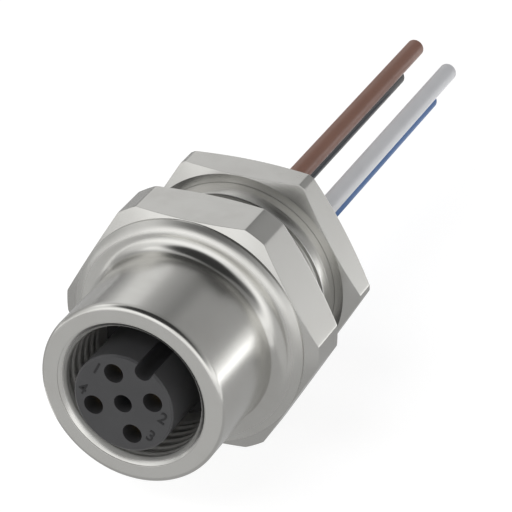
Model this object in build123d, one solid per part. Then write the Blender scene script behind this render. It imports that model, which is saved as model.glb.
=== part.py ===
"""Panel flange connector, M12 socket side with four leads, in millimetres.

The axis lies along Y. The mating face looks towards -Y, the leads leave towards +Y,
and the origin is on the axis in the plane where the hexagon seats on a panel.
"""
import os
from math import atan2, cos, degrees, radians, sin, tan

from build123d import *

# Turned shell: nose, flange, hexagon and tail
NOSE_DIA = 14.8
NOSE_LENGTH = 14.35
LIP_ROUND = 0.45
FLANGE_DIA = 18.9
FLANGE_ROOT_ROUND = 1.0
FLANGE_RIM_ROUND = 0.8
HEX_FLATS = 19.0
HEX_CORNER_DIA = 21.0
HEX_THICK = 4.3
HEX_CHAMFER_DEG = 20.0
TAIL_DIA = 16.0
TAIL_LENGTH = 9.0
TAIL_CHAMFER = 0.8
RELIEF_DIA = 15.3
RELIEF_LENGTH = 3.0

# Stepped bore through the shell
COUPLING_DIA = 12.0
COUPLING_DEPTH = 5.75
LAND_DIA = 10.92
LAND_LENGTH = 1.5
REAR_BORE_DIA = 12.4

# Lock nut on the tail
PANEL_GAP = 4.95
NUT_FLATS = 17.5
NUT_CORNER_DIA = 19.94
NUT_THICK = 2.8
NUT_FACE_DIA = 17.4
NUT_CHAMFER_DEG = 20.0
NUT_COUNTERSINK = 0.15
NUT_CLEARANCE = 0.05

# Contact carrier
CARRIER_DIA = 8.0
CARRIER_PROUD = 1.25
CARRIER_FLANGE_THICK = 3.0
CARRIER_FLANGE_CLEARANCE = 0.05
CARRIER_BOSS_DIA = 9.6
CARRIER_BOSS_LENGTH = 1.4
CARRIER_EDGE = 0.15
KEY_WIDTH = 1.35
KEY_FLOOR_RADIUS = 2.84
CENTRE_HOLE_DIA = 1.45
CENTRE_HOLE_DEPTH = 7.0

# Four contacts on the pitch circle, named after the colour of their lead
PITCH_CIRCLE_DIA = 5.0
FIRST_CONTACT_DEG = 106.2
LEAD_COLOURS = ["brown", "white", "blue", "black"]
CONTACT_DIA = 1.5
CONTACT_CLEARANCE = 0.025
CONTACT_RECESS = 2.0
CONTACT_BORE_DIA = 1.0
CONTACT_BORE_DEPTH = 6.0
CONTACT_SLOT_WIDTH = 0.2
CONTACT_SLOT_DEPTH = 4.5
CONTACT_COLLAR_DIA = 2.1
CONTACT_COLLAR_THICK = 1.0
CONTACT_TAIL = 3.4
CUP_DEPTH = 1.9
CUP_WINDOW_DEPTH = 1.3
CUP_WINDOW_OFFSET = 0.2

# Leads, straight from the contacts to their cut ends
LEAD_DIA = 1.55
CONDUCTOR_DIA = 0.8
CUP_CLEARANCE = 0.05
STRIP_GAP = 0.3
LEAD_FREE_LENGTH = 34.6

# Seals and potting
RING_CLEARANCE = 0.01
CARRIER_RING_SECTION = 0.98
CARRIER_RING_GROOVE_WIDTH = 1.3
PANEL_RING_SECTION = 1.2
PANEL_RING_PROUD = 0.2
POTTING_SET_BACK = 0.3

# Stations along the axis that follow from the sizes above
MOUTH_Y = -NOSE_LENGTH
HEX_FRONT_Y = -HEX_THICK
FLANGE_FACE_Y = HEX_FRONT_Y - FLANGE_RIM_ROUND
LAND_Y = MOUTH_Y + COUPLING_DEPTH
SHOULDER_Y = LAND_Y + LAND_LENGTH
CARRIER_FACE_Y = MOUTH_Y - CARRIER_PROUD
CARRIER_REAR_Y = SHOULDER_Y + CARRIER_FLANGE_THICK
BOSS_REAR_Y = CARRIER_REAR_Y + CARRIER_BOSS_LENGTH
CONTACT_FRONT_Y = CARRIER_FACE_Y + CONTACT_RECESS
CONTACT_REAR_Y = BOSS_REAR_Y + CONTACT_TAIL
CUP_FLOOR_Y = CONTACT_REAR_Y - CUP_DEPTH
LEAD_FRONT_Y = CONTACT_REAR_Y + STRIP_GAP
POTTING_REAR_Y = TAIL_LENGTH - POTTING_SET_BACK
LEAD_END_Y = TAIL_LENGTH + LEAD_FREE_LENGTH
KEY_DEG = FIRST_CONTACT_DEG - 45


def turned(*pieces):
    """The solid swept about the axis by a closed outline drawn as (radius, station)."""
    return revolve(make_face(Curve() + list(pieces)), Axis.Y)


def rod(radius, start, end, x=0.0, z=0.0):
    """A round bar parallel to the axis, from one station to another."""
    return Pos(x, start, z) * Rot(-90, 0, 0) * Cylinder(
        radius, end - start, align=(Align.CENTER, Align.CENTER, Align.MIN)
    )


def ring(mean_radius, section, station):
    """An O-ring round the axis."""
    return Pos(0, station, 0) * Rot(90, 0, 0) * Torus(mean_radius, section / 2)


def hexagonal_blank(flats, corner_dia, face_dia, chamfer_deg, front, rear):
    """A hexagon with flats above and below, turned to its corner diameter and coned at both faces."""
    middle = (front + rear) / 2
    reach = (middle - front) / tan(radians(chamfer_deg))
    cones = turned(
        Polyline(
            (0, front),
            (face_dia / 2, front),
            (face_dia / 2 + reach, middle),
            (face_dia / 2, rear),
            (0, rear),
            (0, front),
        )
    )
    outline = Plane.XZ.offset(-rear) * RegularPolygon(flats / 2, 6, major_radius=False)
    return rod(corner_dia / 2, front, rear) & cones & extrude(outline, rear - front)


def contact_places():
    """The x and z of each contact, numbered clockwise as seen from the mating side."""
    places = []
    for step in range(len(LEAD_COLOURS)):
        angle = radians(FIRST_CONTACT_DEG - 90 * step)
        places.append((PITCH_CIRCLE_DIA / 2 * cos(angle), PITCH_CIRCLE_DIA / 2 * sin(angle)))
    return places


def make_nose():
    """Nose and flange in one outline: rounded lip, hollow root and full round at the rim."""
    nose, flange = NOSE_DIA / 2, FLANGE_DIA / 2
    lip, root, rim = LIP_ROUND, FLANGE_ROOT_ROUND, FLANGE_RIM_ROUND
    return turned(
        Line((0, MOUTH_Y), (nose - lip, MOUTH_Y)),
        CenterArc((nose - lip, MOUTH_Y + lip), lip, -90, 90),
        Line((nose, MOUTH_Y + lip), (nose, FLANGE_FACE_Y - root)),
        CenterArc((nose + root, FLANGE_FACE_Y - root), root, 90, 90),
        Line((nose + root, FLANGE_FACE_Y), (flange - rim, FLANGE_FACE_Y)),
        CenterArc((flange - rim, HEX_FRONT_Y), rim, -90, 90),
        Line((flange, HEX_FRONT_Y), (0, HEX_FRONT_Y)),
        Line((0, HEX_FRONT_Y), (0, MOUTH_Y)),
    )


def make_bore():
    """The stepped bore: coupling stretch, plain land, then the wider bore from the rear."""
    coupling, land, rear = COUPLING_DIA / 2, LAND_DIA / 2, REAR_BORE_DIA / 2
    return turned(
        Polyline(
            (0, MOUTH_Y),
            (coupling, MOUTH_Y),
            (coupling, LAND_Y),
            (land, LAND_Y),
            (land, SHOULDER_Y),
            (rear, SHOULDER_Y),
            (rear, TAIL_LENGTH),
            (0, TAIL_LENGTH),
            (0, MOUTH_Y),
        )
    )


def panel_ring_radius():
    """Mean radius of the panel O-ring, which sits in the relief behind the hexagon."""
    return RELIEF_DIA / 2 + RING_CLEARANCE + PANEL_RING_SECTION / 2


def make_shell():
    """One turned and milled piece: nose, flange, hexagon with seal groove, relief and tail."""
    hexagon = hexagonal_blank(
        HEX_FLATS, HEX_CORNER_DIA, FLANGE_DIA, HEX_CHAMFER_DEG, HEX_FRONT_Y, 0
    )
    relief = rod(RELIEF_DIA / 2, 0, RELIEF_LENGTH)
    tail = rod(TAIL_DIA / 2, RELIEF_LENGTH, TAIL_LENGTH)
    tail = chamfer(tail.edges().filter_by(GeomType.CIRCLE).sort_by(Axis.Y)[-1], TAIL_CHAMFER)
    groove_depth = PANEL_RING_SECTION - PANEL_RING_PROUD + RING_CLEARANCE
    groove_radius = panel_ring_radius() + PANEL_RING_SECTION / 2 + RING_CLEARANCE
    groove = rod(groove_radius, -groove_depth, 0) - rod(RELIEF_DIA / 2, -groove_depth, 0)
    return make_nose() + (hexagon - groove) + relief + tail - make_bore()


def make_lock_nut():
    """Thin hexagon nut, coned at both faces and countersunk at both ends of its bore."""
    front, rear = PANEL_GAP, PANEL_GAP + NUT_THICK
    nut = hexagonal_blank(NUT_FLATS, NUT_CORNER_DIA, NUT_FACE_DIA, NUT_CHAMFER_DEG, front, rear)
    nut -= rod(TAIL_DIA / 2 + NUT_CLEARANCE, front, rear)
    return chamfer(nut.edges().filter_by(GeomType.CIRCLE).group_by(SortBy.RADIUS)[0], NUT_COUNTERSINK)


def carrier_ring_place():
    """Mean radius and station of the O-ring in the carrier's flange."""
    radius = REAR_BORE_DIA / 2 - RING_CLEARANCE - CARRIER_RING_SECTION / 2
    return radius, SHOULDER_Y + CARRIER_FLANGE_THICK / 2


def make_key_slot():
    """The coding slot that runs down the carrier, with a round floor."""
    radius = KEY_WIDTH / 2
    length = SHOULDER_Y - CARRIER_FACE_Y
    outer = CARRIER_DIA / 2 + radius
    middle = (KEY_FLOOR_RADIUS + radius + outer) / 2
    slot = Pos(middle, 0, 0) * Box(outer - KEY_FLOOR_RADIUS - radius, length, KEY_WIDTH)
    slot += rod(radius, -length / 2, length / 2, KEY_FLOOR_RADIUS + radius)
    return Pos(0, CARRIER_FACE_Y + length / 2, 0) * Rot(0, -KEY_DEG, 0) * slot


def make_carrier():
    """Moulded contact carrier: barrel with coding slot, sealing flange and rear boss."""
    flange = REAR_BORE_DIA / 2 - CARRIER_FLANGE_CLEARANCE
    barrel = rod(CARRIER_DIA / 2, CARRIER_FACE_Y, SHOULDER_Y)
    barrel = chamfer(barrel.edges().filter_by(GeomType.CIRCLE).sort_by(Axis.Y)[0], CARRIER_EDGE)
    carrier = barrel - make_key_slot()
    carrier += rod(flange, SHOULDER_Y, CARRIER_REAR_Y)
    carrier += rod(CARRIER_BOSS_DIA / 2, CARRIER_REAR_Y, BOSS_REAR_Y)
    mean_radius, station = carrier_ring_place()
    floor = mean_radius - CARRIER_RING_SECTION / 2 - RING_CLEARANCE
    half = CARRIER_RING_GROOVE_WIDTH / 2
    carrier -= rod(flange, station - half, station + half) - rod(floor, station - half, station + half)
    carrier -= rod(CENTRE_HOLE_DIA / 2, CARRIER_FACE_Y, CARRIER_FACE_Y + CENTRE_HOLE_DEPTH)
    bore = CONTACT_DIA / 2 + CONTACT_CLEARANCE
    seat = CONTACT_COLLAR_DIA / 2 + CONTACT_CLEARANCE
    for x, z in contact_places():
        carrier -= rod(bore, CARRIER_FACE_Y, BOSS_REAR_Y, x, z)
        carrier -= rod(seat, BOSS_REAR_Y - CONTACT_COLLAR_THICK, BOSS_REAR_Y, x, z)
    return carrier


def make_contact(x, z):
    """Turned socket contact: slit tube in front, collar, then a cup open on one side."""
    contact = rod(CONTACT_DIA / 2, CONTACT_FRONT_Y, CONTACT_REAR_Y)
    contact += rod(CONTACT_COLLAR_DIA / 2, BOSS_REAR_Y - CONTACT_COLLAR_THICK, BOSS_REAR_Y)
    contact -= rod(CONTACT_BORE_DIA / 2, CONTACT_FRONT_Y, CONTACT_FRONT_Y + CONTACT_BORE_DEPTH)
    for turn in (0, 90):
        slit = Box(CONTACT_SLOT_WIDTH, CONTACT_SLOT_DEPTH, CONTACT_DIA + CONTACT_SLOT_WIDTH)
        contact -= Pos(0, CONTACT_FRONT_Y + CONTACT_SLOT_DEPTH / 2, 0) * Rot(0, turn, 0) * slit
    cup = CONDUCTOR_DIA / 2 + CUP_CLEARANCE
    contact -= rod(cup, CUP_FLOOR_Y, CONTACT_REAR_Y)
    window = Box(CONTACT_DIA, CUP_WINDOW_DEPTH, CONTACT_DIA, align=(Align.MIN, Align.MAX, Align.CENTER))
    outward = degrees(atan2(z, x))
    contact -= Rot(0, -outward, 0) * Pos(CUP_WINDOW_OFFSET, CONTACT_REAR_Y, 0) * window
    return Pos(x, 0, z) * contact


def make_insulation(x, z):
    """The coloured sleeve of one lead, cut square at its end."""
    outer = rod(LEAD_DIA / 2, LEAD_FRONT_Y, LEAD_END_Y, x, z)
    return outer - rod(CONDUCTOR_DIA / 2, LEAD_FRONT_Y, LEAD_END_Y, x, z)


def make_conductor(x, z):
    """The stranded core of one lead, from the floor of its cup to the cut end."""
    return rod(CONDUCTOR_DIA / 2, CUP_FLOOR_Y, LEAD_END_Y, x, z)


def make_potting():
    """Casting resin that fills the tail behind the carrier, round the contacts and leads."""
    resin = rod(REAR_BORE_DIA / 2, CARRIER_REAR_Y, POTTING_REAR_Y)
    resin -= rod(CARRIER_BOSS_DIA / 2, CARRIER_REAR_Y, BOSS_REAR_Y)
    for x, z in contact_places():
        resin -= rod(CONTACT_DIA / 2, BOSS_REAR_Y, CONTACT_REAR_Y, x, z)
        resin -= rod(CONDUCTOR_DIA / 2, CONTACT_REAR_Y, LEAD_FRONT_Y, x, z)
        resin -= rod(LEAD_DIA / 2, LEAD_FRONT_Y, POTTING_REAR_Y, x, z)
    return resin


def build_parts():
    """Every piece of the connector by name."""
    ring_radius, ring_station = carrier_ring_place()
    panel_ring_y = PANEL_RING_PROUD - PANEL_RING_SECTION / 2
    parts = {
        "shell": make_shell(),
        "lock_nut": make_lock_nut(),
        "panel_seal": ring(panel_ring_radius(), PANEL_RING_SECTION, panel_ring_y),
        "contact_carrier": make_carrier(),
        "carrier_seal": ring(ring_radius, CARRIER_RING_SECTION, ring_station),
        "potting": make_potting(),
    }
    for number, (colour, (x, z)) in enumerate(zip(LEAD_COLOURS, contact_places()), 1):
        parts[f"contact_{number}"] = make_contact(x, z)
        parts[f"{colour}_insulation"] = make_insulation(x, z)
        parts[f"{colour}_conductor"] = make_conductor(x, z)
    return parts


os.makedirs("parts", exist_ok=True)
for name, solid in build_parts().items():
    export_step(solid, f"parts/{name}.step")
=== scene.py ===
# %% [markdown]
# # A panel flange connector
# The real object is a small turned metal body: a threaded socket nose, a round flange with a
# hexagon behind it, and a tail that goes through a panel and takes a thin lock nut. Inside sits a
# black plastic carrier with four gold contacts, and four coloured leads come out of the back.
# The solids come from the CAD frame. Here each visible piece gets its fine shape and its finish.
# The object's sizes are in millimetres, and are divided by a thousand where a mesh takes metres.
# Clip distances, finishes, tent, lamp and floor are given in metres, Blender's own unit.

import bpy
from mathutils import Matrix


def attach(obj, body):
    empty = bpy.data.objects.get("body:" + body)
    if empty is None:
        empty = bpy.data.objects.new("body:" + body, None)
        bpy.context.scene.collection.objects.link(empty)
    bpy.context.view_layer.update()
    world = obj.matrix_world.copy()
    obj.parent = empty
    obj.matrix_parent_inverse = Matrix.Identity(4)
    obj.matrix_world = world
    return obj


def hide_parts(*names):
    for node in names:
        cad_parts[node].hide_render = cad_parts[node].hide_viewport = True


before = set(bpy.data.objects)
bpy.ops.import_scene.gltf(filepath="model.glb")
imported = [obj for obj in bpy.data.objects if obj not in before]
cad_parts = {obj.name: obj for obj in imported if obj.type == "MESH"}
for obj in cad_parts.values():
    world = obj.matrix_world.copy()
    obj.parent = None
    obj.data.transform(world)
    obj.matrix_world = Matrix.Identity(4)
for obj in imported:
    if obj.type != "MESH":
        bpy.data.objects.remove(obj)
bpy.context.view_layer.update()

from math import cos, pi, radians, sin, tan

import bmesh
import bpy
import numpy as np
from mathutils import Matrix

scene = bpy.context.scene

# %% [markdown]
# ## The camera
# The picture was taken from a little above and to the right, with a long lens. The camera could be
# placed by eye, but round edges of known size let it be worked out: their ellipses give the turn
# and the rise, and the way that far edges shrink gives the distance. The lens is a plain pinhole,
# so that the metal edges meet the picture everywhere.

# %% Put the camera where the picture was taken
TURN, RISE = radians(24.112), radians(29.549)
DISTANCE, SIDE, LIFT = 229.07, 9.662, 10.720
CARRIER_FACE = -15.6
SENSOR, FOCAL_PIXELS, FRAME_PIXELS = 36.0, 3156.3, 512
NEAREST, FARTHEST = 0.01, 20.0

right = np.array([cos(TURN), sin(TURN), 0.0])
back = np.array([sin(TURN) * cos(RISE), -cos(TURN) * cos(RISE), sin(RISE)])
up = np.cross(back, right)
place = SIDE * right + LIFT * up + DISTANCE * back + np.array([0.0, CARRIER_FACE, 0.0])

lens = bpy.data.cameras.new("camera")
lens.sensor_width = SENSOR
lens.lens = FOCAL_PIXELS * SENSOR / FRAME_PIXELS
lens.clip_start, lens.clip_end = NEAREST, FARTHEST
camera = bpy.data.objects.new("camera", lens)
turned = np.eye(4)
turned[:3, 0], turned[:3, 1], turned[:3, 2], turned[:3, 3] = right, up, back, place / 1000
camera.matrix_world = Matrix(turned.tolist())
scene.collection.objects.link(camera)
scene.camera = camera
print("camera at, mm:", np.round(place, 1).tolist(), "lens, mm:", round(lens.lens, 1))

# %% [markdown]
# ## A way to make surfaces
# Nearly every piece here is turned, so its surface is a grid: rows follow an outline, columns go
# round the axis. One helper joins neighbouring points of such a grid into faces, closes it both
# ways, and turns it round if its faces point inwards, which the signed volume tells.

# %% Turn a grid of points into a piece
SAME_POINT = 1e-7


def signed_volume(points, faces):
    """Sum over the faces of corner a dot (b cross c), a sixth for each of a face's two triangles."""
    a, b, c, d = (points[faces[:, k]] for k in range(4))
    return float((np.cross(b, c) * a + np.cross(c, d) * a).sum() / 6)


def surface(name, points, body="connector", sharp=24.0, closed_rows=True, weld=False):
    """One face for each cell between row i and i + 1 and column j and j + 1, columns wrapping."""
    grids = points.reshape((-1,) + points.shape[-3:])
    number = np.arange(grids[..., 0].size).reshape(grids.shape[:3])
    beside = np.roll(number, -1, axis=2)
    cells = np.stack(
        [number, beside, np.roll(beside, -1, axis=1), np.roll(number, -1, axis=1)], axis=-1)
    faces = (cells if closed_rows else cells[:, :-1]).reshape(-1, 4)
    flat = grids.reshape(-1, 3) / 1000
    if signed_volume(flat, faces) < 0:
        faces = faces[:, ::-1]
    mesh = bpy.data.meshes.new(name)
    mesh.vertices.add(len(flat))
    mesh.vertices.foreach_set("co", flat.astype(np.float32).ravel())
    mesh.loops.add(faces.size)
    mesh.loops.foreach_set("vertex_index", faces.astype(np.int32).ravel())
    mesh.polygons.add(len(faces))
    mesh.polygons.foreach_set("loop_start", np.arange(0, faces.size, 4, dtype=np.int32))
    mesh.update(calc_edges=True)
    if weld:
        shape = bmesh.new()
        shape.from_mesh(mesh)
        bmesh.ops.remove_doubles(shape, verts=shape.verts, dist=SAME_POINT)
        shape.to_mesh(mesh)
        shape.free()
    mesh.validate()
    mesh.shade_smooth()
    mesh.set_sharp_from_angle(angle=radians(sharp))
    piece = bpy.data.objects.new(name, mesh)
    scene.collection.objects.link(piece)
    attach(piece, body)
    print(f"{name}: {len(mesh.polygons)} faces, {signed_volume(flat, faces) * 1e9:.1f} cubic mm")
    return piece


# %% [markdown]
# ## The four leads
# The leads are thin stiff wires that leave the resin in the tail and run straight to cut ends.
# Each could be one bevelled curve, but then its cut end would be a plain disc. So a smooth curve
# is only the route, and a hollow sleeve and a twisted bundle of strands are laid along points
# that are read back from it.

# %% Draw the straight route of each lead
COLOURS = ["brown", "white", "blue", "black"]
CONTACT_CIRCLE, FIRST_CONTACT = 2.5, 106.2
CUP_FLOOR, LEAD_FRONT, RESIN_FACE, HALF_WAY, LEAD_END = -1.2, 1.0, 8.7, 26.0, 43.6


def contact_place(number):
    """Contact n stands at the first contact's angle less 90 degrees times n, on the contact circle."""
    angle = radians(FIRST_CONTACT - 90 * number)
    return CONTACT_CIRCLE * cos(angle), CONTACT_CIRCLE * sin(angle)


def vertex_places(mesh):
    """The mesh's vertex coordinates as rows of an array."""
    flat = np.zeros(3 * len(mesh.vertices), dtype=np.float32)
    mesh.vertices.foreach_get("co", flat)
    return flat.reshape(-1, 3).astype(float)


def route_points(name, stations, x, z):
    """Points of a smooth curve through the given stations of a line beside the axis, in mm."""
    curve = bpy.data.curves.new(name, "CURVE")
    curve.dimensions = "3D"
    spline = curve.splines.new("NURBS")
    spline.points.add(len(stations) - 1)
    knots = np.array([[x, y, z, 1000.0] for y in stations]) / 1000
    spline.points.foreach_set("co", knots.ravel())
    spline.order_u = 3
    spline.use_endpoint_u = True
    spline.resolution_u = 12
    drawn = bpy.data.objects.new(name, curve)
    scene.collection.objects.link(drawn)
    bpy.context.view_layer.update()
    line = bpy.data.meshes.new_from_object(drawn)
    bpy.data.objects.remove(drawn)
    return vertex_places(line) * 1000


routes = {}
for number, colour in enumerate(COLOURS):
    x, z = contact_place(number)
    routes[colour] = route_points(f"{colour}_route",
        [LEAD_FRONT, RESIN_FACE, HALF_WAY, LEAD_END], x, z)
    steps = np.linalg.norm(np.diff(routes[colour], axis=0), axis=1)
    print(colour, "route:", len(routes[colour]), "points,", round(float(steps.sum()), 2), "mm")

# %% [markdown]
# ### Sleeve and strands
# The sleeve is a hollow tube whose outline goes out along the skin, over a slightly rounded cut
# and back through the bore. The core is nineteen fine wires: one in the middle, six round it and
# twelve outside, all twisted together. Their ends differ a little, as a cutter leaves them.

# %% Lay the sleeves and the strands along the routes
LEAD_RADIUS, BORE_RADIUS, CUT_ROUND = 0.775, 0.405, 0.05
STRAND_RADIUS, LAY_LENGTH, CUT_SPREAD = 0.079, 13.0, 0.06
FIRST_SEED = 11


def carried(path, distance, sideways):
    """The point at each distance along the path, plus an offset square to the path."""
    along = np.concatenate([[0.0], np.cumsum(np.linalg.norm(np.diff(path, axis=0), axis=1))])
    centre = np.stack([np.interp(distance, along, path[:, axis]) for axis in range(3)], axis=-1)
    return centre + sideways


def ring_offsets(radius, angle):
    """Radius times the cosine and sine of the angle, square to the axis."""
    return np.stack([radius * np.cos(angle), 0 * radius * angle, radius * np.sin(angle)], axis=-1)


def sleeve_points(path, length):
    """A closed outline of distance and radius, out along the skin and back down the bore."""
    skin, bore, edge = LEAD_RADIUS, BORE_RADIUS, CUT_ROUND
    bend = np.linspace(0, pi / 2, 5)
    along_skin = np.concatenate([[0.0], np.linspace(0.1, length - 0.1, 40)])
    over_cut = length - edge + edge * np.sin(bend)
    distance = np.concatenate([along_skin, over_cut, [length, length - 0.3, length / 2, 0.0]])
    radius = np.concatenate([np.full(len(along_skin), skin), skin - edge + edge * np.cos(bend),
        [bore + 0.03, bore, bore, bore]])
    angle = np.linspace(0, 2 * pi, 64, endpoint=False)
    return carried(path, distance[:, None], ring_offsets(radius[:, None], angle[None, :]))


def strand_points(path, length, seed):
    """Nineteen thin rods on circles of 0, 1 and 2 strand widths that turn once in each lay length."""
    chance = np.random.default_rng(seed)
    shell = np.repeat([0, 1, 2], [1, 6, 12])
    start = np.concatenate([[0], np.arange(6) * pi / 3, np.arange(12) * pi / 6 + pi / 12])
    front = CUP_FLOOR - LEAD_FRONT
    reach = length + chance.uniform(-CUT_SPREAD, CUT_SPREAD, len(shell))
    part = np.concatenate([[0, 0], np.linspace(0, 1, 60), [1, 1]])
    distance = front + part[None, :] * (reach[:, None] - front)
    thick = STRAND_RADIUS * np.concatenate([[0, 0.9], np.ones(60), [0.9, 0]])
    twist = start[:, None] + 2 * pi * distance / LAY_LENGTH
    centre = ring_offsets((shell * 2 * STRAND_RADIUS)[:, None], twist)
    angle = np.linspace(0, 2 * pi, 10, endpoint=False)
    round_it = ring_offsets(thick[None, :, None], angle[None, None, :])
    middle = carried(path, np.maximum(distance, 0), centre)
    middle[..., 1] += np.minimum(distance, 0)
    return middle[:, :, None, :] + round_it


sleeves, strands = {}, {}
for number, colour in enumerate(COLOURS):
    path = routes[colour]
    length = LEAD_END - LEAD_FRONT
    sleeves[colour] = surface(f"{colour}_sleeve", sleeve_points(path, length))
    strands[colour] = surface(f"{colour}_strands", strand_points(path, length, FIRST_SEED + number),
        closed_rows=False, weld=True)
    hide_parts(f"{colour}_insulation")
    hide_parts(f"{colour}_conductor")
    x, z = contact_place(number)

# %% [markdown]
# ## Rounding an outline
# A turned part is drawn as corners, and no corner of the real one is quite sharp: a tool or a
# tumbler leaves a small round, and that round is what catches the light. A bevel modifier could
# add it, but not with a radius of its own for each corner. This helper puts an arc into each
# corner, on a whole stack of outlines at once, one for each angle about the axis, so that the same
# code rounds a turned nose and a hexagon whose outline changes as it turns.

# %% Round the corners of one outline or of many
def rounded(corners, radii, steps=6):
    """Start one tangent length before a corner and swing about the centre by the corner's turn."""
    before, after = np.roll(corners, 1, axis=-2), np.roll(corners, -1, axis=-2)
    come = (corners - before) / np.linalg.norm(corners - before, axis=-1, keepdims=True)
    go = (after - corners) / np.linalg.norm(after - corners, axis=-1, keepdims=True)
    turn = np.arctan2(come[..., 0] * go[..., 1] - come[..., 1] * go[..., 0], (come * go).sum(-1))
    radii = np.broadcast_to(radii, turn.shape)
    start = corners - (radii * np.tan(np.abs(turn) / 2))[..., None] * come
    normal = np.stack([-come[..., 1], come[..., 0]], axis=-1) * np.sign(turn)[..., None]
    centre = start + radii[..., None] * normal
    swing = turn[..., None] * np.linspace(0, 1, steps)
    c, s = np.cos(swing), np.sin(swing)
    n = normal[..., None, :]
    spun = np.stack([c * n[..., 0] - s * n[..., 1], s * n[..., 0] + c * n[..., 1]], axis=-1)
    arcs = centre[..., None, :] - radii[..., None, None] * spun
    ends = np.roll(arcs[..., 0, :], -1, axis=-2)[..., None, :]
    share = np.array([0.03, 0.35, 0.65, 0.97])[:, None]
    runs = arcs[..., -1:, :] * (1 - share) + ends * share
    both = np.concatenate([arcs, runs], axis=-2)
    return both.reshape(both.shape[:-3] + (-1, 2))


def swept(outline, angle):
    """Radius r and station y at angle a give the point (r cos a, y, r sin a)."""
    r, y = outline[..., 0], outline[..., 1]
    return np.stack([r * np.cos(angle), y + 0 * angle, r * np.sin(angle)], axis=-1)


def thread_wave(turns):
    """A rounded trapezoid between 0 and 1: the hyperbolic tangent of a cosine."""
    return 0.5 + 0.5 * np.tanh(1.2 * np.cos(2 * pi * turns)) / np.tanh(1.2)


# %% [markdown]
# ## The nose and the flange
# The front of the shell is turned in one go: a flat rim round the mouth with a rounded lip, the
# long nose, a hollow root where it grows into the flange, and the flange, whose front is a shallow
# dome that falls away towards its edge.
# Inside the mouth a smooth run-in leads to a fine thread of one millimetre pitch, which runs out
# before a plain bright land. The thread could be a bump in the finish, but its ridges catch light
# and cast small shadows, so it is real shape: the bore's radius follows a wave that climbs as it
# goes round.

# %% Make the front of the shell
MOUTH, FLANGE_FACE, HEX_FRONT = -14.35, -5.1, -4.3
NOSE, FLANGE, COUPLING, LAND, REAR_BORE = 7.4, 9.45, 6.0, 5.46, 6.2
LAND_FRONT, SHOULDER = -8.6, -7.1
COUPLING_PITCH, RUN_IN, RUN_OUT, THREAD_DEPTH = 1.0, 0.6, 0.5, 0.16
BORE_JOIN = -8.0
DOME, DOME_TURN = 0.55, radians(46)


def mouth_thread(station, angle):
    """A run-in that falls from the mouth to the crests by the square of what is left, then the
    thread's wave, whose depth grows from nothing behind the run-in and dies before the land."""
    depth = station - MOUTH
    wave = thread_wave(station / COUPLING_PITCH - angle / (2 * pi))
    starts = np.clip((depth - RUN_IN + 0.1) / RUN_OUT, 0, 1)
    ends = np.clip((LAND_FRONT + 0.1 - station) / RUN_OUT, 0, 1)
    fade = starts * ends
    ease = fade * fade * (3 - 2 * fade)
    run_in = (COUPLING - LAND) * np.clip(1 - depth / RUN_IN, 0, 1) ** 2
    return LAND + np.maximum(run_in, THREAD_DEPTH * (1 - wave) * ease)


angle = np.linspace(0, 2 * pi, 384, endpoint=False)
front_corners = np.array([[COUPLING, MOUTH], [NOSE, MOUTH], [NOSE, FLANGE_FACE],
    [FLANGE - DOME, FLANGE_FACE], [FLANGE, FLANGE_FACE + DOME * tan(DOME_TURN)], [FLANGE, HEX_FRONT],
    [REAR_BORE, HEX_FRONT], [REAR_BORE, SHOULDER], [LAND, SHOULDER], [LAND, BORE_JOIN]])
front_radii = np.array([0.04, 0.45, 1.0, 1.15, 0.06, 0.005, 0.005, 0.05, 0.05, 0.005])
front_outline = rounded(front_corners, front_radii, steps=7)[:-4]
front_grid = swept(front_outline[:, None, :], angle[None, :])
station = np.linspace(BORE_JOIN, MOUTH + 0.03, 150)[:, None]
bore_outline = np.stack(
    [mouth_thread(station, angle[None, :]), station + 0 * angle[None, :]], axis=-1)
bore_grid = swept(bore_outline, angle[None, :])
shell_front = surface("shell_front", np.concatenate([front_grid, bore_grid]), sharp=30)
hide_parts("shell")

# %% [markdown]
# ## The hexagon and the tail
# The hexagon is a turned bar with six milled flats and a shallow cone at both faces, so each flat
# is bounded by curved edges. For each angle about the axis the outline has its own outer radius:
# the flat's distance over the cosine, or the turned corner where that is smaller. Extra columns
# stand close to the corner edges, so that these stay crisp. Behind the hexagon lie the groove for
# the seal, a relief where the threading tool runs out, and the tail with its panel thread.

# %% Radius of a hexagon by angle, and columns that meet its edges
HEX_FLAT, HEX_CORNER, CONE = 9.5, 10.5, tan(radians(20))


def hexagon_radius(angle, flat, corner, softness=0.02):
    """The smaller of flat over cosine and corner, blended over a hair's width at the edge."""
    edge = flat / np.cos(angle % (pi / 3) - pi / 6)
    return 0.5 * (edge + corner - np.sqrt((edge - corner) ** 2 + softness**2))


def hexagon_columns(flat, corner):
    """Even columns, and close ones on both sides of the twelve edges of the flats."""
    half = np.arccos(flat / corner)
    middles = np.arange(6) * pi / 3 + pi / 6
    close = np.radians([-0.8, -0.4, -0.2, 0, 0.2, 0.4, 0.8])
    edges = (middles[:, None] + np.array([-half, half])[None, :]).ravel()
    even = np.arange(288) * 2 * pi / 288
    from_edge = np.abs((even[:, None] - edges[None, :] + pi) % (2 * pi) - pi).min(axis=1)
    beside_edge = ((edges[:, None] + close[None, :]) % (2 * pi)).ravel()
    return np.sort(np.concatenate([even[from_edge > radians(1.0)], beside_edge]))


def stacked(pairs, count):
    """Corners as (radius, station), each a number or one value for each column."""
    columns = [np.stack([np.broadcast_to(value, count) for value in pair], axis=-1) for pair in pairs]
    return np.stack(columns, axis=-2)


# %% Make the hexagon, the relief and the tail
TAIL, RELIEF, RELIEF_END, TAIL_END, TAIL_CHAMFER = 8.0, 7.65, 3.0, 9.0, 0.8
GROOVE, GROOVE_DEPTH = 8.87, 1.01
PANEL_PITCH, PANEL_DEPTH, THREAD_START, TAIL_JOIN = 1.5, 0.8, 5.2, 4.0


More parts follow.
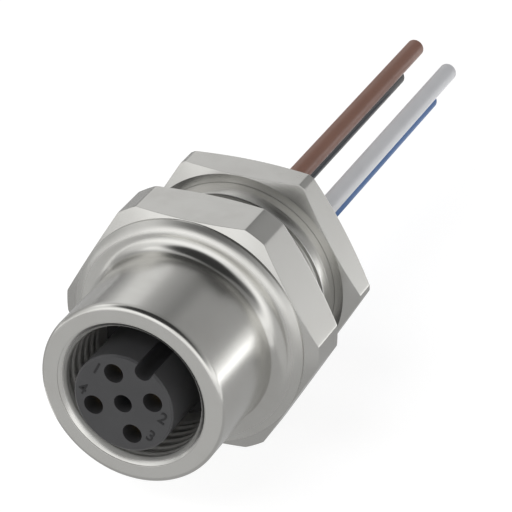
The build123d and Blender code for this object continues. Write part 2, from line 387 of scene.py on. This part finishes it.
def tail_thread(station, angle):
    """The wave cut into the tail from its full radius, less the cone at its end."""
    wave = thread_wave(station / PANEL_PITCH - angle / (2 * pi))
    fade = np.clip((station - THREAD_START) / 0.9, 0, 1)
    thread = TAIL - PANEL_DEPTH * (1 - wave) * fade * fade * (3 - 2 * fade)
    return np.minimum(thread, TAIL - np.maximum(0, station - TAIL_END + TAIL_CHAMFER))


angle = hexagon_columns(HEX_FLAT, HEX_CORNER)
outer = hexagon_radius(angle, HEX_FLAT, HEX_CORNER)
drop = (outer - FLANGE) * CONE
rear_corners = stacked([(REAR_BORE, HEX_FRONT), (FLANGE, HEX_FRONT), (outer, HEX_FRONT + drop),
    (outer, -drop), (FLANGE, 0), (GROOVE, 0), (GROOVE, -GROOVE_DEPTH), (RELIEF, -GROOVE_DEPTH),
    (RELIEF, RELIEF_END), (TAIL, RELIEF_END), (TAIL, TAIL_JOIN)], len(angle))
rear_radii = np.array([0.005, 0.005, 0.02, 0.02, 0.02, 0.04, 0.08, 0.08, 0.15, 0.12, 0.005])
rear_outline = rounded(rear_corners, rear_radii, steps=4)[:, :-4]
station = np.linspace(TAIL_JOIN + 0.05, TAIL_END, 120)[:, None]
tail_outline = np.stack(
    [tail_thread(station, angle[None, :]), station + 0 * angle[None, :]], axis=-1)
inner_outline = np.array([[REAR_BORE + 0.1, TAIL_END], [REAR_BORE, TAIL_END - 0.1], [REAR_BORE, 2.0],
    [REAR_BORE, -4.0]])
rear_grid = np.concatenate([
    swept(rear_outline.transpose(1, 0, 2), angle[None, :]),
    swept(tail_outline, angle[None, :]),
    swept(inner_outline[:, None, :], angle[None, :])])
shell_rear = surface("shell_rear", rear_grid, sharp=22)
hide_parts("shell")

# %% [markdown]
# ## The lock nut
# The nut is a thin hexagon, coned at both faces like the flange's hexagon, so it is swept the same way.
# Its thread is a shallow groove that winds outwards into the bore: its crests stay just clear of the tail,
# and the nut can slide along it without touching.

# %% Make the lock nut
NUT_FLAT, NUT_CORNER, NUT_FACE, NUT_BORE = 8.75, 9.97, 8.7, 8.01
NUT_FRONT, NUT_REAR, NUT_SINK, NUT_EDGE = 4.95, 7.75, 0.01, 0.15
GROOVE_MARGIN, NUT_GROOVE, GROOVE_RUN = 0.05, 0.3, 0.3

angle = hexagon_columns(NUT_FLAT, NUT_CORNER)
outer = hexagon_radius(angle, NUT_FLAT, NUT_CORNER)
drop = (outer - NUT_FACE) * CONE
nut_corners = stacked([(NUT_BORE + NUT_SINK, NUT_FRONT), (NUT_FACE, NUT_FRONT), (outer, NUT_FRONT + drop),
    (outer, NUT_REAR - drop), (NUT_FACE, NUT_REAR), (NUT_BORE + NUT_EDGE, NUT_REAR),
    (NUT_BORE, NUT_REAR - NUT_EDGE), (NUT_BORE, NUT_FRONT + NUT_SINK)], len(angle))
nut_radii = np.array([0.002, 0.02, 0.02, 0.02, 0.02, 0.01, 0.005, 0.002])
nut_rows = rounded(nut_corners, nut_radii, steps=4).transpose(1, 0, 2)

groove_rear, groove_front = NUT_REAR - NUT_EDGE - GROOVE_MARGIN, NUT_FRONT + NUT_SINK + GROOVE_MARGIN
station = np.linspace(groove_rear, groove_front, 56)[:, None]
wave = thread_wave(station / PANEL_PITCH - angle[None, :] / (2 * pi) + 0.5)
from_rear = np.clip((groove_rear - station) / GROOVE_RUN, 0, 1)
from_front = np.clip((station - groove_front) / GROOVE_RUN, 0, 1)
groove = np.stack(
    [NUT_BORE + NUT_GROOVE * wave * from_rear * from_front, station + 0 * angle[None, :]], axis=-1)
rows_a_corner = 8
bore_corner = 7 * rows_a_corner
lock_nut = surface("lock_nut_fine", np.concatenate([swept(nut_rows[:bore_corner - 4], angle[None, :]),
    swept(groove, angle[None, :]), swept(nut_rows[bore_corner:-4], angle[None, :])]), body="nut", sharp=22)
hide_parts("lock_nut")

# %% [markdown]
# ## The seals
# Each O-ring is a moulded torus. Blender has a torus of its own, but the mould leaves a very thin
# line of flash where its halves met, which is a small bump on the section's radius at two angles,
# so the section is worked out here. The panel seal stands a little proud of the hexagon, so that
# the panel squeezes it.

# %% Make the O-rings
FLASH_HEIGHT, FLASH_WIDTH = 0.012, 0.09


def o_ring(name, mean, section, middle):
    """Section radius plus a narrow bump at the inner and outer mould line, swept round the axis."""
    around = np.linspace(0, 2 * pi, 180, endpoint=False)
    across = np.linspace(0, 2 * pi, 48, endpoint=False)
    bump = FLASH_HEIGHT * np.exp(-((np.sin(across) / FLASH_WIDTH) ** 2))
    radius = section / 2 - FLASH_HEIGHT / 2 + bump
    outline = np.stack([mean + radius * np.cos(across), middle + radius * np.sin(across)], axis=-1)
    return surface(name, swept(outline[:, None, :], around[None, :]), sharp=60)


panel_seal = o_ring("panel_seal_fine", 8.26, 1.2, -0.4)
carrier_seal = o_ring("carrier_seal_fine", 5.70, 0.98, -5.6)
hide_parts("panel_seal")
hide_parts("carrier_seal")

# %% [markdown]
# ## The casting resin
# Liquid resin climbs a little at every wall before it sets. The face is a disc whose height rises
# near the bore and near each lead by a falling exponential, so small menisci stand round the
# sleeves. Behind the face the piece is a plain plug that reaches to the carrier.

# %% Make the resin plug
WALL_RISE, WALL_REACH, LEAD_RISE, LEAD_REACH, RESIN_SINK = 0.22, 0.3, 0.2, 0.22, 0.02


def resin_height(x, z):
    """Flat face plus a rise that dies away within a third of a millimetre of each wall."""
    rise = WALL_RISE * np.exp(-(REAR_BORE - np.hypot(x, z)) / WALL_REACH)
    for number in range(4):
        place_x, place_z = contact_place(number)
        gap = np.maximum(np.hypot(x - place_x, z - place_z) - LEAD_RADIUS, 0)
        rise = rise + LEAD_RISE * np.exp(-gap / LEAD_REACH)
    return RESIN_FACE - RESIN_SINK + rise


around = np.linspace(0, 2 * pi, 240, endpoint=False)
reach = np.concatenate([[0.0], np.linspace(0.05, 4.0, 75), np.linspace(4.08, REAR_BORE - 0.01, 35)])
x, z = reach[:, None] * np.cos(around), reach[:, None] * np.sin(around)
face = np.stack([x, resin_height(x, z), z], axis=-1)
wall = np.array([[6.19, 6.0], [6.19, -2.0], [6.19, -4.05], [4.9, -4.05], [4.82, -4.0], [4.82, -2.72],
    [4.7, -2.69], [3.0, -2.69], [0.0, -2.69]])
potting = surface("potting_fine", np.concatenate([face, swept(wall[:, None, :], around[None, :])]),
    closed_rows=False, weld=True, sharp=40)
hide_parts("potting")

# %% [markdown]
# ## The numbers on the carrier
# The carrier and the contacts keep their CAD solids, whose holes and key slot are right as they
# are. The mould leaves small raised numbers beside the contacts. Each is a text object, made a
# mesh first. Its points are then laid on the face along three directions, so that the object
# itself sits at the origin like every piece.

# %% Set the numbers 1 to 4
DIGIT_TURN, DIGIT_HEIGHT, DIGIT_PROUD, DIGIT_SUNK = radians(-26.5), 1.0, 0.03, 0.02
DIGIT_WIDTH, DIGIT_THICK, DIGIT_BOLD = 0.92, 0.02, 0.012
DIGIT_PLACES = {"1": (-2.04, 2.51), "2": (3.21, -0.44), "3": (2.20, -2.20), "4": (-3.23, 0.53)}


def digit(text, middle_x, middle_z):
    """Reading direction and height turned about the axis, thickness towards the front."""
    font = bpy.data.curves.new(f"number_{text}", "FONT")
    font.body = text
    font.extrude, font.offset = DIGIT_THICK, DIGIT_BOLD
    holder = bpy.data.objects.new(f"number_{text}", font)
    scene.collection.objects.link(holder)
    bpy.context.view_layer.update()
    mesh = bpy.data.meshes.new_from_object(holder)
    bpy.data.objects.remove(holder)
    points = vertex_places(mesh)
    low, high = points.min(axis=0), points.max(axis=0)
    points = (points - (low + high) / 2) / (high[1] - low[1]) * DIGIT_HEIGHT
    points[:, 0] *= DIGIT_WIDTH
    points[:, 2] = np.where(points[:, 2] > 0, DIGIT_PROUD, -DIGIT_SUNK)
    across = np.array([cos(DIGIT_TURN), 0.0, sin(DIGIT_TURN)])
    along = np.array([-sin(DIGIT_TURN), 0.0, cos(DIGIT_TURN)])
    inwards = np.array([0.0, 1.0, 0.0])
    laid = points[:, :1] * across + points[:, 1:2] * along - points[:, 2:] * inwards
    laid += np.array([middle_x, CARRIER_FACE, middle_z])
    mesh.vertices.foreach_set("co", (laid / 1000).astype(np.float32).ravel())
    mesh.materials.clear()
    mesh.update()
    piece = bpy.data.objects.new(f"number_{text}", mesh)
    scene.collection.objects.link(piece)
    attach(piece, "connector")
    return piece


digits = [digit(text, *spot) for text, spot in DIGIT_PLACES.items()]
print("numbers:", [piece.name for piece in digits])

# %% [markdown]
# ## Effects that several finishes share
# Real surfaces are never even, but the same few effects come back on many of them. Each could be
# drawn as a picture. A node group is better: it is built once, has no edges or seams, and takes
# other values in each material. All of them read Object coordinates, in metres.

# %% Helpers that build a group and its nodes
def new_group(name, inputs, outputs):
    """A group with float inputs of given values, float outputs, and its two end nodes."""
    group = bpy.data.node_groups.new(name, "ShaderNodeTree")
    for label, value in inputs.items():
        socket = group.interface.new_socket(label, in_out="INPUT", socket_type="NodeSocketFloat")
        socket.default_value = value
    for label in outputs:
        group.interface.new_socket(label, in_out="OUTPUT", socket_type="NodeSocketFloat")
    return group, group.nodes.new("NodeGroupInput"), group.nodes.new("NodeGroupOutput")


def math_node(nodes, links, operation, a, b=None):
    """One math node fed by sockets or numbers, giving its result."""
    node = nodes.new("ShaderNodeMath")
    node.operation = operation
    for slot_number, value in enumerate((a, b)):
        if value is None:
            continue
        if isinstance(value, (int, float)):
            node.inputs[slot_number].default_value = value
        else:
            links.new(value, node.inputs[slot_number])
    return node.outputs[0]


def noise_node(nodes, links, vector, scale, detail=3.0, roughness=0.6):
    """A noise texture in metres, its scale a socket."""
    node = nodes.new("ShaderNodeTexNoise")
    node.inputs["Detail"].default_value = detail
    node.inputs["Roughness"].default_value = roughness
    links.new(vector, node.inputs["Vector"])
    links.new(scale, node.inputs["Scale"])
    return node.outputs["Fac"]


def object_place(nodes, links):
    """The three Object coordinates of the point, as one node with three outputs."""
    parts = nodes.new("ShaderNodeSeparateXYZ")
    links.new(nodes.new("ShaderNodeTexCoord").outputs["Object"], parts.inputs[0])
    return parts


def from_axis(nodes, links, parts):
    """Distance from the axis: the square root of x squared plus z squared."""
    x_square = math_node(nodes, links, "MULTIPLY", parts.outputs[0], parts.outputs[0])
    z_square = math_node(nodes, links, "MULTIPLY", parts.outputs[2], parts.outputs[2])
    return math_node(nodes, links, "SQRT", math_node(nodes, links, "ADD", x_square, z_square))


# %% [markdown]
# ### Turning marks
# A lathe leaves fine rings. They are noise that is read from the distance to the axis and the
# station along it, and hardly at all from the angle, so the streaks run round the part.

# %% Build the turning marks
ANGLE_SHARE = 0.012
turning, inside, outside = new_group("turning_marks", {"Spacing": 9000.0}, ["Height"])
nodes, links = turning.nodes, turning.links
parts = object_place(nodes, links)
lathe = nodes.new("ShaderNodeCombineXYZ")
links.new(from_axis(nodes, links, parts), lathe.inputs[0])
links.new(parts.outputs[1], lathe.inputs[1])
links.new(math_node(nodes, links, "MULTIPLY", parts.outputs[2], ANGLE_SHARE), lathe.inputs[2])
streak = noise_node(nodes, links, lathe.outputs[0], inside.outputs["Spacing"], 2.0, 0.5)
links.new(streak, outside.inputs["Height"])
print("group:", turning.name)

# %% [markdown]
# ### Handling
# Fingers and dust leave soft clouds in which the surface is a little darker and rougher. Only the
# upper part of a slow noise is kept, so that most of the surface stays clean.

# %% Build the handling mask
CLEAN_BELOW = 0.45
handling, inside, outside = new_group("handling", {"Size": 320.0, "Amount": 1.6}, ["Mask"])
nodes, links = handling.nodes, handling.links
place_node = nodes.new("ShaderNodeTexCoord")
cloud = noise_node(nodes, links, place_node.outputs["Object"], inside.outputs["Size"], 4.0, 0.62)
above = math_node(nodes, links, "SUBTRACT", cloud, CLEAN_BELOW)
clamp = nodes.new("ShaderNodeClamp")
links.new(math_node(nodes, links, "MULTIPLY", above, inside.outputs["Amount"]), clamp.inputs["Value"])
links.new(clamp.outputs[0], outside.inputs["Mask"])
print("group:", handling.name)

# %% [markdown]
# ### Grain
# Moulded and extruded skins have a fine texture. The station is multiplied by a stretch before the
# noise is read: at 1 the grain is even, and well below 1 it draws out into lines along a lead.

# %% Build the grain
grain, inside, outside = new_group("grain", {"Size": 9000.0, "Stretch": 1.0}, ["Height"])
nodes, links = grain.nodes, grain.links
parts = object_place(nodes, links)
stretched = nodes.new("ShaderNodeCombineXYZ")
links.new(parts.outputs[0], stretched.inputs[0])
drawn_out = math_node(nodes, links, "MULTIPLY", parts.outputs[1], inside.outputs["Stretch"])
links.new(drawn_out, stretched.inputs[1])
links.new(parts.outputs[2], stretched.inputs[2])
skin_noise = noise_node(nodes, links, stretched.outputs[0], inside.outputs["Size"], 3.0, 0.55)
links.new(skin_noise, outside.inputs["Height"])
print("group:", grain.name)

# %% [markdown]
# ### Hollows
# A bore or a relief stays duller than the polished outside. On a turned part that is simply where
# the distance from the axis is small, so this mask fades in below a given radius.

# %% Build the mask of the hollows
hollows, inside, outside = new_group("hollows", {"Radius": 0.006, "Blend": 0.0001}, ["Mask"])
nodes, links = hollows.nodes, hollows.links
out_from_axis = from_axis(nodes, links, object_place(nodes, links))
short_of = math_node(nodes, links, "SUBTRACT", inside.outputs["Radius"], out_from_axis)
ramp = nodes.new("ShaderNodeClamp")
links.new(math_node(nodes, links, "DIVIDE", short_of, inside.outputs["Blend"]), ramp.inputs["Value"])
links.new(ramp.outputs[0], outside.inputs["Mask"])
print("group:", hollows.name)

# %% [markdown]
# ## The finishes
# Each finish is its own Principled shader with plain constants on its sockets, because plain
# constants are what other programs can read. The groups only shift the colour, the roughness and
# the bump a little. The materials could each be wired by hand; one helper wires them alike.

# %% A helper that wires a finish
def finish(name, colour, darker, roughness, spread, bumps, metallic=0.0, clouds=320.0):
    """Colour and roughness move between two values by a handling mask; bumps add group heights."""
    material = bpy.data.materials.new(name)
    material.use_nodes = True
    nodes, links = material.node_tree.nodes, material.node_tree.links
    shader = nodes["Principled BSDF"]
    shader.inputs["Metallic"].default_value = metallic
    mask = nodes.new("ShaderNodeGroup")
    mask.node_tree = handling
    mask.inputs["Size"].default_value = clouds
    mixed = nodes.new("ShaderNodeMix")
    mixed.data_type = "RGBA"
    mixed.inputs["A"].default_value = (*colour, 1.0)
    mixed.inputs["B"].default_value = (*darker, 1.0)
    links.new(mask.outputs["Mask"], mixed.inputs["Factor"])
    links.new(mixed.outputs["Result"], shader.inputs["Base Color"])
    more = math_node(nodes, links, "MULTIPLY", mask.outputs["Mask"], spread)
    links.new(math_node(nodes, links, "ADD", more, roughness), shader.inputs["Roughness"])
    normal = None
    for group, settings, distance in bumps:
        marks = nodes.new("ShaderNodeGroup")
        marks.node_tree = group
        for label, value in settings.items():
            marks.inputs[label].default_value = value
        bump = nodes.new("ShaderNodeBump")
        bump.inputs["Strength"].default_value = 1.0
        bump.inputs["Distance"].default_value = distance
        links.new(marks.outputs["Height"], bump.inputs["Height"])
        if normal is not None:
            links.new(normal, bump.inputs["Normal"])
        normal = bump.outputs["Normal"]
    if normal is not None:
        links.new(normal, shader.inputs["Normal"])
    return material, shader


def dress(material, *pieces):
    """The piece's only material."""
    for piece in pieces:
        piece.data.materials.clear()
        piece.data.materials.append(material)


def dull_hollows(material, shader, radius, rougher, less_metal, blend=0.0003):
    """Below a radius about the axis, add to the roughness and take from the metal."""
    nodes, links = material.node_tree.nodes, material.node_tree.links
    dull = nodes.new("ShaderNodeGroup")
    dull.node_tree = hollows
    dull.inputs["Radius"].default_value = radius
    dull.inputs["Blend"].default_value = blend
    more = math_node(nodes, links, "MULTIPLY", dull.outputs["Mask"], rougher)
    before = shader.inputs["Roughness"].links[0].from_socket
    links.new(math_node(nodes, links, "ADD", before, more), shader.inputs["Roughness"])
    less = math_node(nodes, links, "MULTIPLY", dull.outputs["Mask"], -less_metal)
    links.new(math_node(nodes, links, "ADD", less, 1.0), shader.inputs["Metallic"])


def worn_rim(material, shader, radius, blend, rougher):
    """Above a radius about the axis, add to the roughness, where handling has dulled the rim."""
    nodes, links = material.node_tree.nodes, material.node_tree.links
    within = nodes.new("ShaderNodeGroup")
    within.node_tree = hollows
    within.inputs["Radius"].default_value = radius
    within.inputs["Blend"].default_value = blend
    outside_it = math_node(nodes, links, "SUBTRACT", 1.0, within.outputs["Mask"])
    before = shader.inputs["Roughness"].links[0].from_socket
    more = math_node(nodes, links, "MULTIPLY", outside_it, rougher)
    links.new(math_node(nodes, links, "ADD", before, more), shader.inputs["Roughness"])


# %% [markdown]
# ### Nickel
# The body and the nut are brass with a bright nickel plating, a warm light grey. The nose is the
# smoothest. The hexagon, the tail and the nut are a little duller, and their nickel is painted a little
# darker: painted shade that dims the reflections on the flats. The bore, the rim of the flange and the
# tail are duller still, where the plating is thin or handled. A painted map could say so, but on a turned
# part the radius alone tells these places apart.

# %% Dress the metal body and the nut
NICKEL, NICKEL_HANDLED = (0.62, 0.615, 0.59), (0.56, 0.55, 0.52)
# The rear nickel is painted a little darker than the nose's: painted shade that dims the reflections on
# the flats.
NICKEL_SHADED, NICKEL_SHADED_HANDLED = (0.575, 0.57, 0.548), (0.52, 0.51, 0.485)
RINGS = [(turning, {"Spacing": 9000.0}, 9e-7)]
BORE_LIMIT, TAIL_LIMIT, RIM_LIMIT, RIM_BLEND = 0.0058, 0.00805, 0.0092, 0.0006

body_nickel, shader = finish("nickel_body", NICKEL, NICKEL_HANDLED, 0.21, 0.05, RINGS, metallic=1.0)
dull_hollows(body_nickel, shader, BORE_LIMIT, 0.2, 0.5)
worn_rim(body_nickel, shader, RIM_LIMIT, RIM_BLEND, 0.17)
dress(body_nickel, shell_front)
tail_nickel, shader = finish("nickel_tail", NICKEL_SHADED, NICKEL_SHADED_HANDLED, 0.23, 0.06, RINGS, metallic=1.0)
dull_hollows(tail_nickel, shader, TAIL_LIMIT, 0.17, 0.15)
dress(tail_nickel, shell_rear)
nut_nickel, shader = finish("nickel_nut", NICKEL_SHADED, NICKEL_SHADED_HANDLED, 0.25, 0.06, RINGS, metallic=1.0)
dress(nut_nickel, lock_nut)
print("nickel on:", shell_front.name, shell_rear.name, lock_nut.name)

# %% [markdown]
# ### Plastic, gold, rubber and resin
# The carrier is moulded in black plastic with a fine even grain, which in light is a dark grey. Its
# numbers are the same plastic, painted nearly black: painted shade that stands in for the shadow along
# their small strokes, which is what makes them read. The contacts are plated with gold, the seals are matt
# rubber, and the resin is a smooth black with a slight wave in its skin.

# %% Dress the carrier, the contacts, the seals and the resin
black_plastic, shader = finish("carrier_plastic", (0.038, 0.038, 0.04), (0.052, 0.052, 0.054), 0.42, 0.1,
    [(grain, {"Size": 16000.0}, 4e-6)])
# The numbers' plastic is painted nearly black: painted shade along their strokes, which makes them read.
numbers_painted_shade, shader = finish("numbers_painted_shade", (0.006, 0.006, 0.007), (0.01, 0.01, 0.011), 0.4, 0.1,
    [(grain, {"Size": 16000.0}, 2e-6)])
dress(black_plastic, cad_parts["contact_carrier"])
dress(numbers_painted_shade, *digits)

gold, shader = finish("contact_gold", (0.78, 0.55, 0.2), (0.66, 0.43, 0.15), 0.22, 0.12,
    [(turning, {"Spacing": 16000.0}, 8e-7)], metallic=1.0)
dress(gold, *[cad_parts[f"contact_{number}"] for number in range(1, 5)])

rubber, shader = finish("seal_rubber", (0.018, 0.018, 0.018), (0.035, 0.035, 0.034), 0.5, 0.15,
    [(grain, {"Size": 12000.0}, 5e-6)])
dress(rubber, panel_seal, carrier_seal)

resin, shader = finish("casting_resin", (0.012, 0.012, 0.013), (0.02, 0.02, 0.021), 0.12, 0.1,
    [(grain, {"Size": 700.0}, 1.5e-5)])
dress(resin, potting)
print("finishes so far:", len(bpy.data.materials))

# %% [markdown]
# ### Copper and coloured sleeves
# The strands are bare copper, a little darker where air has reached them. The sleeves are extruded:
# fine lines run along them, with a finer grain on top. Their plastic is not very glossy, so its
# specular level is lowered on the shader's own socket.

# %% Dress the leads
SLEEVE_GLOSS = 0.35
copper, shader = finish("copper_strand", (0.86, 0.46, 0.28), (0.62, 0.3, 0.18), 0.28, 0.12,
    [(grain, {"Size": 30000.0, "Stretch": 0.2}, 8e-7)], metallic=1.0)
dress(copper, *strands.values())

SLEEVES = {
    "brown": ((0.255, 0.128, 0.092), (0.215, 0.11, 0.078)),
    "white": ((0.66, 0.665, 0.685), (0.58, 0.585, 0.605)),
    "blue": ((0.004, 0.085, 0.28), (0.004, 0.075, 0.24)),
    "black": ((0.013, 0.013, 0.014), (0.022, 0.022, 0.023)),
}
for colour, (light, dark) in SLEEVES.items():
    plastic, shader = finish(f"{colour}_sleeve", light, dark, 0.36, 0.12,
        [(grain, {"Size": 9000.0, "Stretch": 0.04}, 3e-6), (grain, {"Size": 24000.0}, 8e-7)])
    shader.inputs["Specular IOR Level"].default_value = SLEEVE_GLOSS
    dress(plastic, sleeves[colour])
print("finishes:", len(bpy.data.materials))

# %% [markdown]
# ## Light and floor
# The background is a plain white world at a strength of one. The picture was taken in a light
# tent: white at the height of the object, greyer above, and dark where the camera looks in. Metal
# shows its surroundings, so a box of cloth stands round the object and glows in a few soft patches
# by direction. The camera looks through it, as through the opening of a real tent. One large soft
# lamp shapes the plastics, and a pale floor under the lowest flat keeps a soft shadow.

# %% Make the white world and the cloth of the tent
world = bpy.data.worlds.new("white_background")
scene.world = world
world.use_nodes = True
world.node_tree.nodes["Background"].inputs["Color"].default_value = (1.0, 1.0, 1.0, 1.0)

cloth = bpy.data.materials.new("tent_cloth")
cloth.use_nodes = True
nodes, links = cloth.node_tree.nodes, cloth.node_tree.links
middle_out = nodes.new("ShaderNodeVectorMath")
middle_out.operation = "NORMALIZE"
links.new(nodes.new("ShaderNodeTexCoord").outputs["Object"], middle_out.inputs[0])
look = middle_out.outputs["Vector"]


def towards(turn, rise):
    """Unit vector at a turn from +Y towards +X and a rise above the horizon, in degrees."""
    turn, rise = radians(turn), radians(rise)
    return (sin(turn) * cos(rise), cos(turn) * cos(rise), sin(rise))


def soft_step(value, start, end, height=1.0):
    """Smooth ramp from 0 at start to height at end."""
    node = nodes.new("ShaderNodeMapRange")
    node.interpolation_type = "SMOOTHSTEP"
    node.inputs["From Min"].default_value = start
    node.inputs["From Max"].default_value = end
    node.inputs["To Max"].default_value = height
    links.new(value, node.inputs["Value"])
    return node.outputs["Result"]


def facing(axis):
    """Cosine between the look direction and an axis."""
    node = nodes.new("ShaderNodeVectorMath")
    node.operation = "DOT_PRODUCT"
    links.new(look, node.inputs[0])
    node.inputs[1].default_value = axis
    return node.outputs["Value"]


# %% [markdown]
# ### Patches on the cloth
# Each patch is given by where it stands, how far it reaches and how much light it adds or takes:
# turn and rise of its middle, the angle where it ends, the angle where it is full, and its gain.
# A strip along the horizon, strongest on the right, lights the edges there. Two openings let in
# almost no light. The sum is kept between a darkest and a brightest level, so that no metal goes
# quite black or clips to white.

# %% Add up the patches and hang the cloth
TENT_GREY, DARKEST, BRIGHTEST = 0.43, 0.04, 1.4
TENT_PATCHES = [
    (-140, 38, 50, 8, 0.62), (-85, -62, 42, 18, 1.1), (-35, 32, 40, 5, 0.28), (-158, 2, 30, 5, 0.7),
    (60, 58, 40, 5, -0.17), (165, 16, 34, 8, 0.6), (-92, 47, 24, 6, 0.6), (118, 45, 28, 8, -0.3),
    (-6, 42, 19, 4, -0.25), (-37, -5, 24, 6, -0.32), (36, -6, 12, 3, 0.95), (-29, 25, 13, 3, 0.25),
]
STRIP_TURN, STRIP_END, STRIP_FULL, STRIP_GAIN = 108, 72, 36, 1.3
TENT_DARK = [((100, 80), 13, 34), ((-170, 70), 26, 42)]
level = None
for turn, rise, outer_deg, inner_deg, gain in TENT_PATCHES:
    near = facing(towards(turn, rise))
    patch = soft_step(near, cos(radians(outer_deg)), cos(radians(inner_deg)), gain)
    level = math_node(nodes, links, "ADD", patch, TENT_GREY if level is None else level)
height = facing((0.0, 0.0, 1.0))
below_top, above_bottom = soft_step(height, 0.42, 0.06), soft_step(height, -0.44, -0.14)
strip = math_node(nodes, links, "MULTIPLY", below_top, above_bottom)
strip_side = facing(towards(STRIP_TURN, 0))
side_on = soft_step(strip_side, cos(radians(STRIP_END)), cos(radians(STRIP_FULL)), STRIP_GAIN)
level = math_node(nodes, links, "ADD", level, math_node(nodes, links, "MULTIPLY", strip, side_on))
for aim, inner_deg, outer_deg in TENT_DARK:
    open_tent = soft_step(facing(towards(*aim)), cos(radians(inner_deg)), cos(radians(outer_deg)))
    level = math_node(nodes, links, "MULTIPLY", level, open_tent)
level = math_node(nodes, links, "MAXIMUM", level, DARKEST)
level = math_node(nodes, links, "MINIMUM", level, BRIGHTEST)
glow = nodes.new("ShaderNodeEmission")
links.new(level, glow.inputs["Strength"])
links.new(glow.outputs[0], nodes["Material Output"].inputs["Surface"])

TENT_REACH, FLOOR_LEVEL = 1.4, -0.00951
SQUARE = np.array([[-1, -1], [1, -1], [1, 1], [-1, 1]])
TENT_SIDES = [(0, 1, 5, 4), (1, 2, 6, 5), (2, 3, 7, 6), (3, 0, 4, 7), (4, 5, 6, 7)]


def level_square(half, height):
    """Four corners of a square of the given half width, at one height."""
    return np.column_stack([SQUARE * half, np.full(4, height)]).tolist()


tent_corners = level_square(TENT_REACH, FLOOR_LEVEL) + level_square(TENT_REACH, TENT_REACH)
tent_mesh = bpy.data.meshes.new("tent")
tent_mesh.from_pydata(tent_corners, [], TENT_SIDES)
tent_mesh.materials.append(cloth)
tent = bpy.data.objects.new("tent", tent_mesh)
scene.collection.objects.link(tent)
tent.visible_camera = False
print("tent patches:", len(TENT_PATCHES) + len(TENT_DARK))

# %% [markdown]
# ### The lamp
# Plastics need a direction of light to look round. A sun would draw hard shadows, so a wide disk
# hangs above and to the left of the camera. Reflections do not see it: the tent serves them.

# %% Hang the soft lamp
LAMP_WIDTH, LAMP_POWER, LAMP_DISTANCE = 0.5, 1.6, 0.7
lamp_data = bpy.data.lights.new("soft_lamp", "AREA")
lamp_data.shape = "DISK"
lamp_data.size = LAMP_WIDTH
lamp_data.energy = LAMP_POWER
lamp = bpy.data.objects.new("soft_lamp", lamp_data)
lamp.visible_glossy = False
aim = np.array(towards(-150, 55))
side = np.cross([0.0, 1.0, 0.0], aim)
side /= np.linalg.norm(side)
hung = np.eye(4)
hung[:3, 0], hung[:3, 1], hung[:3, 2], hung[:3, 3] = side, np.cross(aim, side), aim, aim * LAMP_DISTANCE
lamp.matrix_world = Matrix(hung.tolist())
scene.collection.objects.link(lamp)
print("lamp at, m:", np.round(aim * LAMP_DISTANCE, 2).tolist())

# %% [markdown]
# ### The floor
# The floor is white paper that fades into the background. Lit by lamps alone it would need far more
# light than the object can bear, so most of its white is a glow of its own and the rest answers to
# the lamp, which keeps the soft shadow. From below it is clear, so that no view is blocked.

# %% Lay the floor
FLOOR_REACH, FLOOR_GREY, FLOOR_GLOW = 1.5, 0.3, 0.86
floor_mesh = bpy.data.meshes.new("floor")
floor_mesh.from_pydata(level_square(FLOOR_REACH, FLOOR_LEVEL), [], [(0, 1, 2, 3)])
floor = bpy.data.objects.new("floor", floor_mesh)
scene.collection.objects.link(floor)
paper = bpy.data.materials.new("pale_floor")
paper.use_nodes = True
nodes, links = paper.node_tree.nodes, paper.node_tree.links
shader = nodes["Principled BSDF"]
shader.inputs["Base Color"].default_value = (FLOOR_GREY, FLOOR_GREY, FLOOR_GREY, 1.0)
shader.inputs["Roughness"].default_value = 0.9
shader.inputs["Specular IOR Level"].default_value = 0.0
shader.inputs["Emission Color"].default_value = (1.0, 1.0, 1.0, 1.0)
shader.inputs["Emission Strength"].default_value = FLOOR_GLOW
clear = nodes.new("ShaderNodeBsdfTransparent")
sided = nodes.new("ShaderNodeMixShader")
links.new(nodes.new("ShaderNodeNewGeometry").outputs["Backfacing"], sided.inputs["Fac"])
links.new(shader.outputs[0], sided.inputs[1])
links.new(clear.outputs[0], sided.inputs[2])
links.new(sided.outputs[0], nodes["Material Output"].inputs["Surface"])
floor_mesh.materials.append(paper)
print("floor at, mm:", FLOOR_LEVEL * 1000)

# %% [markdown]
# ## Grey cards
# The underside of the metal showed mid grey, with one pale line down its left side and a bright
# band down the right of the nose. So two grey cards lie just above the floor, with a gap between
# them, a paler one lies in front and a bright one to the right. Only reflections see them: they
# give the metal its lower tones and hide nothing from the camera.

# %% Lay the cards: lowest and highest x, then y, in millimetres, and the glow
CARD_LEVEL = -0.009506
CARDS = {
    "card_right": (-12, 40, -17, 34, 0.46), "card_left": (-300, -18, -17, 300, 0.46),
    "card_front": (-90, 60, -80, -17, 0.6), "card_bright": (34, 150, 42, 210, 2.2),
}
for name, (x_low, x_high, y_low, y_high, glow_level) in CARDS.items():
    grey = bpy.data.materials.new(f"grey_{name}")
    grey.use_nodes = True
    glow = grey.node_tree.nodes.new("ShaderNodeEmission")
    glow.inputs["Color"].default_value = (glow_level, glow_level, glow_level, 1.0)
    grey.node_tree.links.new(glow.outputs[0], grey.node_tree.nodes["Material Output"].inputs["Surface"])
    corners = np.array([[x_low, y_low], [x_high, y_low], [x_high, y_high], [x_low, y_high]]) / 1000
    card_mesh = bpy.data.meshes.new(name)
    card_mesh.from_pydata(np.column_stack([corners, np.full(4, CARD_LEVEL)]).tolist(), [], [(0, 1, 2, 3)])
    card_mesh.materials.append(grey)
    card = bpy.data.objects.new(name, card_mesh)
    scene.collection.objects.link(card)
    card.visible_camera = card.visible_diffuse = card.visible_shadow = False
    card.visible_transmission = False
print("cards:", list(CARDS))

scene.view_settings.view_transform = "Standard"
